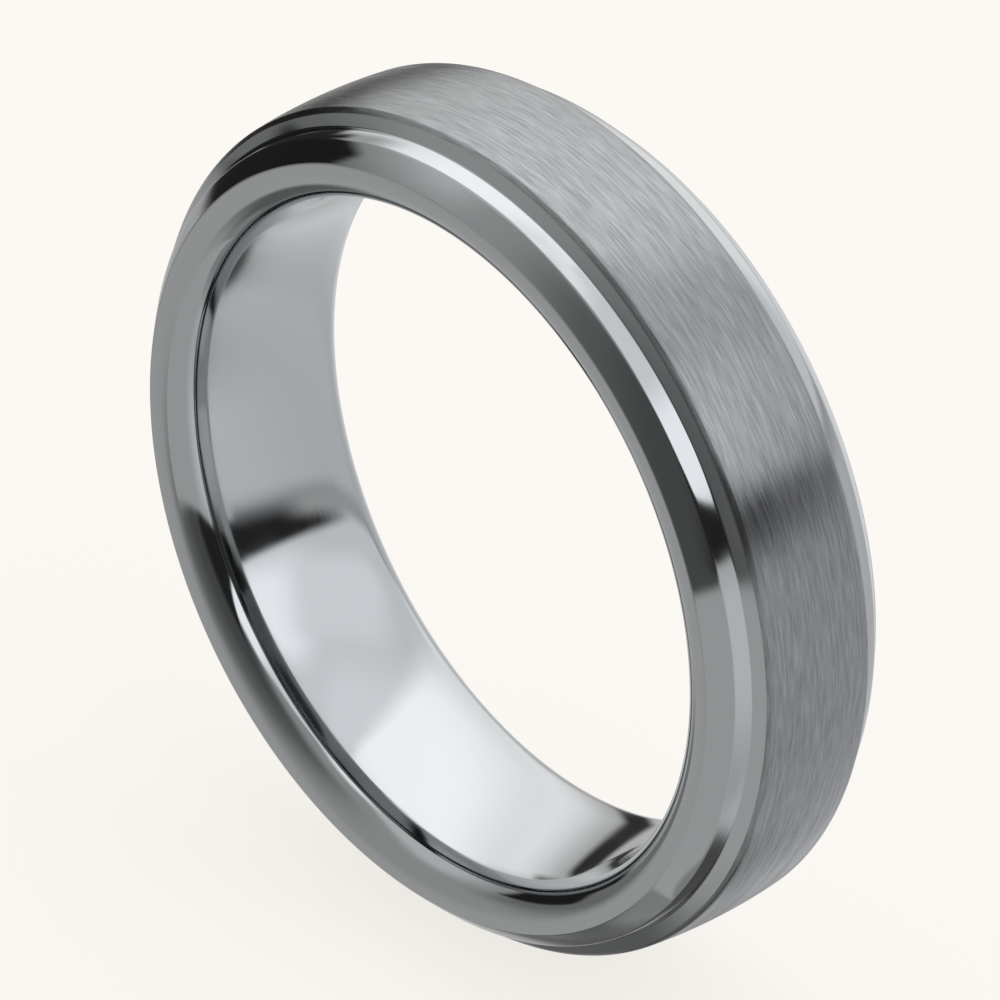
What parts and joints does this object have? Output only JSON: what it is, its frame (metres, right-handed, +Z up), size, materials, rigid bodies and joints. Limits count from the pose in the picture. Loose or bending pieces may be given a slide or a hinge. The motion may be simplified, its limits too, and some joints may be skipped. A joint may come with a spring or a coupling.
{
  "type": "wedding band",
  "caption": "Plain metal finger ring with a brushed, slightly crowned centre band that stands proud of polished, bevelled edges, and a comfort-fit bore that is domed and rounded over at both mouths.",
  "frame": {"origin": "centre of the ring, on its axis and midway between its side faces", "axes": "+Y along the ring's axis, the way the finger goes through; +Z up with the ring standing on its rim; +X across it"},
  "size_m": [0.0238, 0.006, 0.0238],
  "materials": {
    "band_metal": "Solid tungsten carbide, mirror polished on the bore, side faces, bevels and shoulders; the crown of the centre band is brushed around the ring."
  },
  "bodies": {
    "root": {"band": "band_metal"}
  },
  "joints": []
}
